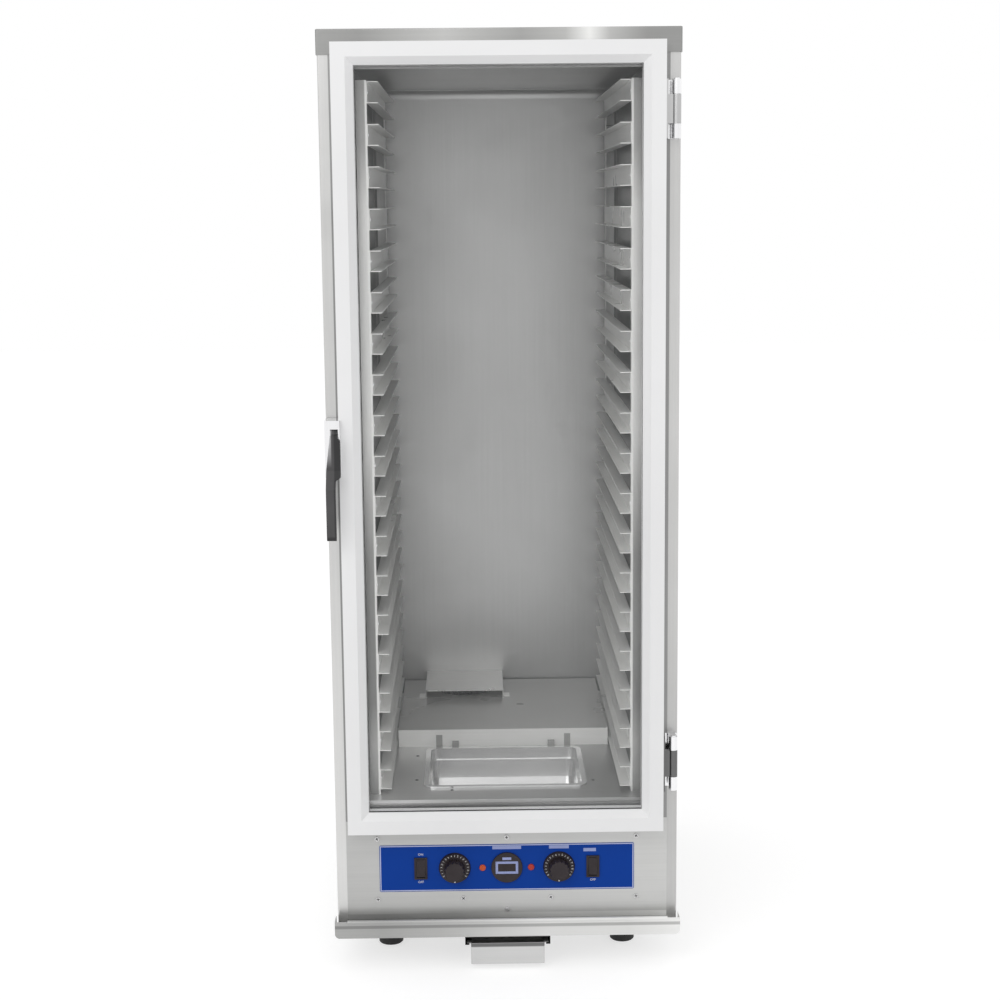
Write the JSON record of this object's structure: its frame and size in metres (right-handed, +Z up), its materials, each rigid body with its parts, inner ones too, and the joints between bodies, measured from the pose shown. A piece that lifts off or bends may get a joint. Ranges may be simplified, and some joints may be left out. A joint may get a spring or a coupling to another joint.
{
  "type": "heated holding cabinet",
  "caption": "Tall insulated heated holding cabinet with a hinged clear door, channel pan slides, a water pan, an under-door control panel and a drip gutter.",
  "frame": {"origin": "centre of the floor area that the whole cabinet covers, on the floor it stands on", "axes": "+X to the right seen from the front, +Y to the back, +Z up"},
  "size_m": [0.66, 0.913, 1.76],
  "materials": {
    "white_paint": "semi-gloss white",
    "satin_aluminium": "fine brushed",
    "liner_sheet": "satin",
    "rack_sheet": "satin",
    "pan_steel": "satin",
    "bright_steel": "polished",
    "insulation_wool": "matt wool",
    "clear_sheet": "clear",
    "seal_rubber": "matt",
    "foot_rubber": "matt",
    "black_plastic": "fine grain",
    "blue_overlay": "smooth",
    "display_glass": "smooth",
    "amber_lens": "moulded lens",
    "black_paint": "satin",
    "heater_sheath": "heat-tinted",
    "motor_paint": "satin"
  },
  "bodies": {
    "cabinet": {"side_panel_left": "satin_aluminium", "side_panel_right": "satin_aluminium", "back_panel": "satin_aluminium", "top_cap": "satin_aluminium", "front_frame": "satin_aluminium", "base_pan": "satin_aluminium", "liner_left": "liner_sheet", "liner_right": "liner_sheet", "liner_back": "liner_sheet", "liner_ceiling": "liner_sheet", "cavity_floor": "liner_sheet", "insulation": "insulation_wool", "uprights_left": "rack_sheet", "uprights_right": "rack_sheet", "pan_slides_left": "rack_sheet", "pan_slides_right": "rack_sheet", "slide_rivets": "bright_steel", "rack_studs": "bright_steel", "duct_cover": "rack_sheet", "inlet_hood": "rack_sheet", "blower_motor": "motor_paint", "air_heater": "heater_sheath", "pan_heater": "heater_sheath", "hinge_frame_leaves": "bright_steel", "hinge_pins": "bright_steel", "latch_strike": "bright_steel", "control_panel": "satin_aluminium", "control_fascia": "blue_overlay", "switch_housings": "black_plastic", "regulators": "black_plastic", "thermometer_case": "black_plastic", "thermometer_window": "display_glass", "indicator_lamps": "amber_lens", "screws": "bright_steel", "drip_gutter": "satin_aluminium", "tray_holder": "black_paint", "feet": "foot_rubber", "foot_studs": "bright_steel", "rear_cover": "satin_aluminium", "cord_gland": "black_plastic", "terminal_block": "black_plastic"},
    "door": {"door_stile_left": "white_paint", "door_stile_right": "white_paint", "door_rail_top": "white_paint", "door_rail_bottom": "white_paint", "door_window": "clear_sheet", "door_seal": "seal_rubber", "glazing_gasket": "seal_rubber", "hinge_door_leaves": "bright_steel", "latch_housing": "bright_steel"},
    "lever": {"latch_lever": "black_plastic"},
    "magnet": {"latch_magnet": "black_paint"},
    "temperature_dial": {"temperature_knob": "black_plastic"},
    "humidity_dial": {"humidity_knob": "black_plastic"},
    "power_key": {"power_rocker": "black_plastic"},
    "mode_key": {"mode_rocker": "black_plastic"},
    "blower": {"blower_wheel": "motor_paint"},
    "tray": {"drip_tray": "satin_aluminium"},
    "pan": {"water_pan": "pan_steel"}
  },
  "joints": [
    {"name": "door_swing", "type": "hinge", "parent": "cabinet", "child": "door", "pos_m": [0.3155, -0.3965, 0.404], "axis": [0, 0, 1], "range_deg": [0, 180]},
    {"name": "latch_pull", "type": "hinge", "parent": "door", "child": "lever", "pos_m": [-0.30715, -0.4188, 1.038], "axis": [-1, 0, 0], "range_deg": [0, 35]},
    {"name": "magnet_draw", "type": "slide", "parent": "door", "child": "magnet", "axis": [0, -1, 0], "range_m": [0, 0.005]},
    {"name": "temperature_turn", "type": "hinge", "parent": "cabinet", "child": "temperature_dial", "pos_m": [-0.1, -0.3713, 0.193], "axis": [0, 1, 0], "range_deg": [0, 300]},
    {"name": "humidity_turn", "type": "hinge", "parent": "cabinet", "child": "humidity_dial", "pos_m": [0.1, -0.3713, 0.193], "axis": [0, 1, 0], "range_deg": [0, 270]},
    {"name": "power_press", "type": "hinge", "parent": "cabinet", "child": "power_key", "pos_m": [-0.165, -0.3655, 0.193], "axis": [1, 0, 0], "range_deg": [0, 16]},
    {"name": "mode_press", "type": "hinge", "parent": "cabinet", "child": "mode_key", "pos_m": [0.165, -0.3655, 0.193], "axis": [1, 0, 0], "range_deg": [0, 16]},
    {"name": "blower_spin", "type": "hinge", "parent": "cabinet", "child": "blower", "pos_m": [-0.082, 0.3145, 0.327], "axis": [0, 0, 1], "continuous": true},
    {"name": "tray_pull", "type": "slide", "parent": "cabinet", "child": "tray", "axis": [0, -1, 0], "range_m": [0, 0.14]},
    {"name": "pan_lift", "type": "slide", "parent": "cabinet", "child": "pan", "axis": [0, 0, 1], "range_m": [0, 0.1]}
  ],
  "couplings": [
    {"joint": "magnet_draw", "follows": "latch_pull", "m_per_rad": 0.0081851}
  ]
}
